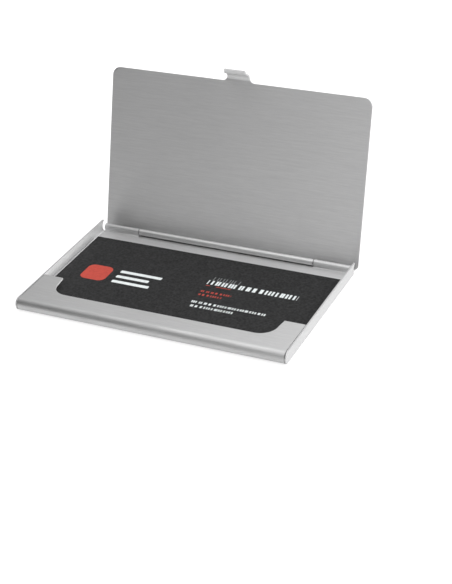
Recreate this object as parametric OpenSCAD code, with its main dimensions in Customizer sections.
// Flat business card case: a folded sheet-metal base with a rolled front edge,
// a flat hinged lid with a clasp tab, a wire hinge pin and four loose cards.
// Sizes are in millimetres. X runs across the case, Y to the hinge, Z up.
// The origin is the middle of the flat underside. The lid is drawn open.

/* [Case] */
// Width over the two side walls
case_width = 94; // [80:0.5:110]
// Depth from the rolled front edge to the ears of the side walls
case_depth = 58; // [55:0.5:70]
// Height of the side walls and of the rolled front edge
wall_height = 4.4; // [4.2:0.1:6]
// Thickness of the metal sheet
sheet = 0.5; // [0.4:0.05:0.6]
// Outside radius of the fold between floor and side walls
fold_radius = 1.0; // [0.8:0.1:1.2]

/* [Front flap] */
// How far back the flap reaches beside each wall
ledge_reach = 17.5; // [15:0.5:22]
// How far back the flap reaches in the middle
flap_reach = 8.05; // [6:0.05:10]
// Width of the cut-out in the flap at its mouth
cutout_width = 78.7; // [60:0.1:80]
// Radius of the inner corners of the cut-out
cutout_radius = 5.7; // [3:0.1:6]
// Width of the open seam between the flap and each wall
seam = 0.15; // [0.1:0.05:0.3]

/* [Hinge] */
// Diameter of the hinge pin
pin_diameter = 1.1; // [0.9:0.1:1.2]
// Gap all round between the pin and the curled sheet
pin_gap = 0.05; // [0.02:0.01:0.08]
// Height of the hinge pin above the underside
hinge_height = 1.75; // [1.7:0.01:1.85]
// Width of the middle hinge curl, which belongs to the lid
middle_curl = 64.8; // [40:0.2:70]
// Angle from the closed lid to the open lid
opening = 105.8; // [90:0.1:106]

/* [Lid] */
// How far the lid's front edge sits behind the rolled edge
lid_setback = 2.6; // [2.2:0.1:4]
// Radius of the lid's two front corners
lid_corner = 2.85; // [1.5:0.05:5]
// Radius of the lid's two rear corners
lid_rear_corner = 1.3; // [0.5:0.1:2]
// Gap between the closed lid and the walls
lid_gap = 0.03; // [0.02:0.01:0.1]

/* [Clasp tab] */
// Width of the clasp tab
tab_width = 8; // [6:0.5:14]
// Gap between the tab and the rolled edge
tab_gap = 0.12; // [0.1:0.01:0.2]
// Radius of the fillets at the root of the tab
tab_fillet = 1.8; // [1:0.1:2]
// Angle the lip of the tab turns outwards
lip_angle = 60; // [40:1:70]
// Length of the straight end of the lip
lip_length = 0.9; // [0.4:0.1:1.1]

/* [Cards] */
// Width of a card
card_width = 90; // [75:0.5:91]
// Depth of a card
card_depth = 50; // [45:0.5:51]
// Thickness of a card
card_sheet = 0.3; // [0.25:0.01:0.32]
// Air between one card and the next
card_gap = 0.02; // [0.01:0.01:0.03]

/* [Hidden] */
roll_radius = wall_height / 2;
curl_bore = pin_diameter / 2 + pin_gap;
curl_radius = curl_bore + sheet;
half_width = case_width / 2;
wall_inside = half_width - sheet;
flap_half = wall_inside - seam;
hinge_back = case_depth + 0.3;
curl_gap = 0.25;
foot_radius = 0.5;
foot_drop = hinge_height - sheet - foot_radius;
foot_back = hinge_back - sqrt(pow(curl_radius + foot_radius, 2) - pow(foot_drop, 2));
foot_angle = asin(foot_drop / (curl_radius + foot_radius));
side_curl_end = wall_inside - 0.6;
lid_under = wall_height + lid_gap;
lid_top = lid_under + sheet;
lid_rear = hinge_back + 0.85;
bend_radius = 0.9;
bend_back = hinge_back + curl_radius - bend_radius;
tab_roll = lid_under - roll_radius;
tab_back = tab_roll - tab_gap;
lip_radius = 0.8;
lip_back = tab_back - tab_roll - sheet - lip_radius;
lip_end = roll_radius - (lip_radius + sheet) * sin(lip_angle) - lip_length * cos(lip_angle);
$fn = 96;

// moves a piece drawn from the rolled front edge onto the origin
module from_front() {
    translate([0, -case_depth / 2, 0])
        children();
}

// draws a side-view outline and stretches it across the case
module across(from, to) {
    translate([from, 0, 0])
        rotate([90, 0, 90])
            linear_extrude(to - from)
                children();
}

// draws a front-view outline and stretches it from front to back
module front_to_back(from, to) {
    translate([0, to, 0])
        rotate([90, 0, 0])
            linear_extrude(to - from)
                children();
}

// runs its children once on the right and once mirrored on the left
module both_sides() {
    children();
    mirror([1, 0, 0])
        children();
}

// side view of the rolled front edge, as a band of sheet
module roll_band() {
    difference() {
        translate([roll_radius, roll_radius])
            circle(roll_radius);
        translate([roll_radius, roll_radius])
            circle(roll_radius - sheet);
        translate([roll_radius, -1])
            square([wall_height, wall_height + 2]);
    }
}

// floor, which ends under the lid's curl in the middle
module floor_sheet() {
    middle_back = hinge_back - 0.15;
    side_start = middle_curl / 2 + curl_gap;
    translate([-side_start, roll_radius, 0])
        cube([2 * side_start, middle_back - roll_radius, sheet]);
    both_sides()
        translate([side_start - 1, roll_radius, 0])
            cube([side_curl_end - side_start + 1, foot_back - roll_radius, sheet]);
    both_sides()
        translate([side_curl_end - 1, roll_radius, 0])
            cube([half_width - fold_radius - side_curl_end + 1.01,
                  foot_back - 0.4 - roll_radius, sheet]);
}

// plan of the wide cut-out in the flap
module cutout_plan() {
    mouth = cutout_width / 2;
    throat = mouth - 0.45;
    corner = flap_reach + cutout_radius;
    polygon([[-mouth, ledge_reach + 1], [mouth, ledge_reach + 1], [mouth, ledge_reach],
             [throat, corner], [-throat, corner], [-mouth, ledge_reach]]);
    translate([-throat + cutout_radius, flap_reach])
        square([2 * (throat - cutout_radius), cutout_radius + 0.1]);
    for (side = [-1, 1])
        translate([side * (throat - cutout_radius), corner])
            circle(cutout_radius);
}

// rolled front edge and the flap it carries
module front_roll() {
    across(-flap_half, flap_half)
        roll_band();
    difference() {
        translate([-flap_half, roll_radius - 0.01, wall_height - sheet])
            cube([2 * flap_half, ledge_reach - roll_radius + 0.01, sheet]);
        translate([0, 0, wall_height - sheet - 1])
            linear_extrude(sheet + 2)
                cutout_plan();
    }
}

// front view of the right wall with its folded foot
module wall_section() {
    translate([wall_inside, fold_radius])
        square([sheet, wall_height - fold_radius]);
    intersection() {
        difference() {
            translate([half_width - fold_radius, fold_radius])
                circle(fold_radius);
            translate([half_width - fold_radius, fold_radius])
                circle(fold_radius - sheet);
        }
        translate([half_width - fold_radius, 0])
            square(fold_radius);
    }
}

// side view of a wall: round at the front, hollowed behind the pin
module wall_outline() {
    difference() {
        union() {
            translate([roll_radius, roll_radius])
                circle(roll_radius);
            translate([roll_radius, 0])
                square([case_depth - roll_radius, wall_height]);
        }
        translate([case_depth + 1.2, 2])
            circle(2.3);
    }
}

// right side wall
module side_wall() {
    intersection() {
        front_to_back(-1, case_depth + 1)
            wall_section();
        across(half_width - 2 * fold_radius, half_width + 1)
            wall_outline();
    }
}

// side view of the base's hinge curl, which runs up out of the floor
module base_curl_outline() {
    difference() {
        translate([hinge_back, hinge_height])
            circle(curl_radius);
        translate([hinge_back, hinge_height])
            circle(curl_bore);
        translate([hinge_back, hinge_height])
            polygon([[0, 0],
                     [-3 * cos(foot_angle), -3 * sin(foot_angle)],
                     [-3 * cos(65), -3 * sin(65)]]);
    }
    intersection() {
        difference() {
            translate([foot_back, sheet + foot_radius])
                circle(foot_radius + sheet);
            translate([foot_back, sheet + foot_radius])
                circle(foot_radius);
        }
        translate([foot_back, sheet + foot_radius])
            polygon([[0, 0],
                     [0, -3],
                     [3 * cos(foot_angle), -3],
                     [3 * cos(foot_angle), 3 * sin(foot_angle)]]);
    }
}

// side view of the lid's hinge curl and the bend that leads into it
module lid_curl_outline() {
    difference() {
        translate([hinge_back, hinge_height])
            circle(curl_radius);
        translate([hinge_back, hinge_height])
            circle(curl_bore);
        translate([hinge_back, hinge_height])
            polygon([[0, 0], [3, 0], [3, 3], [3 * cos(68), 3 * sin(68)]]);
    }
    translate([hinge_back + curl_bore, hinge_height - 0.01])
        square([sheet, lid_top - bend_radius - hinge_height + 0.02]);
    intersection() {
        difference() {
            translate([bend_back, lid_top - bend_radius])
                circle(bend_radius);
            translate([bend_back, lid_top - bend_radius])
                circle(bend_radius - sheet);
        }
        translate([bend_back, lid_top - bend_radius])
            square(bend_radius);
    }
}

// plan of the flat lid, with relief slits beside the middle curl
module lid_plan() {
    difference() {
        union() {
            for (side = [-1, 1]) {
                translate([side * (half_width - lid_corner), lid_setback + lid_corner])
                    circle(lid_corner);
                translate([side * (half_width - lid_rear_corner), lid_rear - lid_rear_corner])
                    circle(lid_rear_corner);
            }
            translate([-half_width + lid_corner, lid_setback])
                square([case_width - 2 * lid_corner, lid_corner + 1]);
            translate([-half_width, lid_setback + lid_corner])
                square([case_width, lid_rear - lid_rear_corner - lid_setback - lid_corner]);
            translate([-half_width + lid_rear_corner, lid_rear - lid_rear_corner - 1])
                square([case_width - 2 * lid_rear_corner, lid_rear_corner + 1]);
        }
        translate([-middle_curl / 2, bend_back])
            square([middle_curl, 3]);
        both_sides()
            translate([middle_curl / 2, hinge_back - 0.3])
                square([0.35, 3]);
    }
}

// side view of the clasp tab wrapping down over the rolled edge
module tab_outline() {
    translate([tab_back, lid_under])
        square([lid_setback + 0.5 - tab_back, sheet]);
    intersection() {
        difference() {
            translate([tab_back, roll_radius])
                circle(tab_roll + sheet);
            translate([tab_back, roll_radius])
                circle(tab_roll);
        }
        translate([tab_back - 5, roll_radius])
            square(5);
    }
    intersection() {
        difference() {
            translate([lip_back, roll_radius])
                circle(lip_radius + sheet);
            translate([lip_back, roll_radius])
                circle(lip_radius);
        }
        translate([lip_back, roll_radius])
            polygon([[0, 0], [3, 0], [3, -3], [3 * cos(lip_angle), -3 * sin(lip_angle)]]);
    }
    translate([lip_back, roll_radius])
        rotate(-lip_angle)
            translate([lip_radius, -lip_length])
                square([sheet, lip_length]);
}

// plan of the tab, with fillets where it leaves the lid
module tab_plan() {
    translate([-tab_width / 2, -5])
        square([tab_width, lid_setback + 6]);
    difference() {
        translate([-tab_width / 2 - tab_fillet, lid_setback - tab_fillet])
            square([tab_width + 2 * tab_fillet, tab_fillet + 0.4]);
        for (side = [-1, 1])
            translate([side * (tab_width / 2 + tab_fillet), lid_setback - tab_fillet])
                circle(tab_fillet);
    }
}

// front view of the tab, with the lower corners rounded
module tab_front() {
    round_corner = 0.9;
    translate([-tab_width, lip_end + round_corner + 1.4])
        square([2 * tab_width, 6]);
    translate([-tab_width / 2, lip_end + round_corner])
        square([tab_width, 3]);
    translate([-tab_width / 2 + round_corner, lip_end - 0.5])
        square([tab_width - 2 * round_corner, 3]);
    for (side = [-1, 1])
        translate([side * (tab_width / 2 - round_corner), lip_end + round_corner])
            circle(round_corner);
}

// clasp tab with rounded lip
module clasp_tab() {
    intersection() {
        across(-tab_width, tab_width)
            tab_outline();
        translate([0, 0, -1])
            linear_extrude(lid_top + 2)
                tab_plan();
        front_to_back(-6, lid_setback + 2)
            tab_front();
    }
}

// lid as it lies on the closed case
module lid_closed() {
    translate([0, 0, lid_under])
        linear_extrude(sheet)
            lid_plan();
    across(-middle_curl / 2, middle_curl / 2)
        lid_curl_outline();
    clasp_tab();
}

module base_shell() {
    color([0.8, 0.81, 0.82])
        from_front() {
            floor_sheet();
            front_roll();
            both_sides() {
                side_wall();
                across(middle_curl / 2 + curl_gap, side_curl_end)
                    base_curl_outline();
            }
        }
}

module lid() {
    color([0.72, 0.73, 0.74])
        from_front()
            translate([0, hinge_back, hinge_height])
                rotate([-opening, 0, 0])
                    translate([0, -hinge_back, -hinge_height])
                        lid_closed();
}

module hinge_pin() {
    pin_half = side_curl_end - 0.1;
    color([0.55, 0.55, 0.57])
        from_front()
            translate([-pin_half, hinge_back, hinge_height])
                rotate([0, 90, 0]) {
                    translate([0, 0, 0.15])
                        cylinder(r = pin_diameter / 2, h = 2 * pin_half - 0.3);
                    cylinder(r1 = pin_diameter / 2 - 0.15, r2 = pin_diameter / 2, h = 0.15);
                    translate([0, 0, 2 * pin_half - 0.15])
                        cylinder(r1 = pin_diameter / 2, r2 = pin_diameter / 2 - 0.15, h = 0.15);
                }
}

// one card, counted up from the floor, with its front edge at the given distance
module card(level, front) {
    under = sheet + card_gap + level * (card_sheet + card_gap);
    color([0.2, 0.2, 0.2])
        from_front()
            translate([-card_width / 2, front, under])
                cube([card_width, card_depth, card_sheet]);
}

// each card rests as far forward as the inside of the roll lets it
module card_bottom() {
    card(0, 2.0);
}

module card_second() {
    card(1, 1.3);
}

module card_third() {
    card(2, 0.95);
}

module card_top() {
    card(3, 0.75);
}

base_shell();
lid();
hinge_pin();
card_bottom();
card_second();
card_third();
card_top();
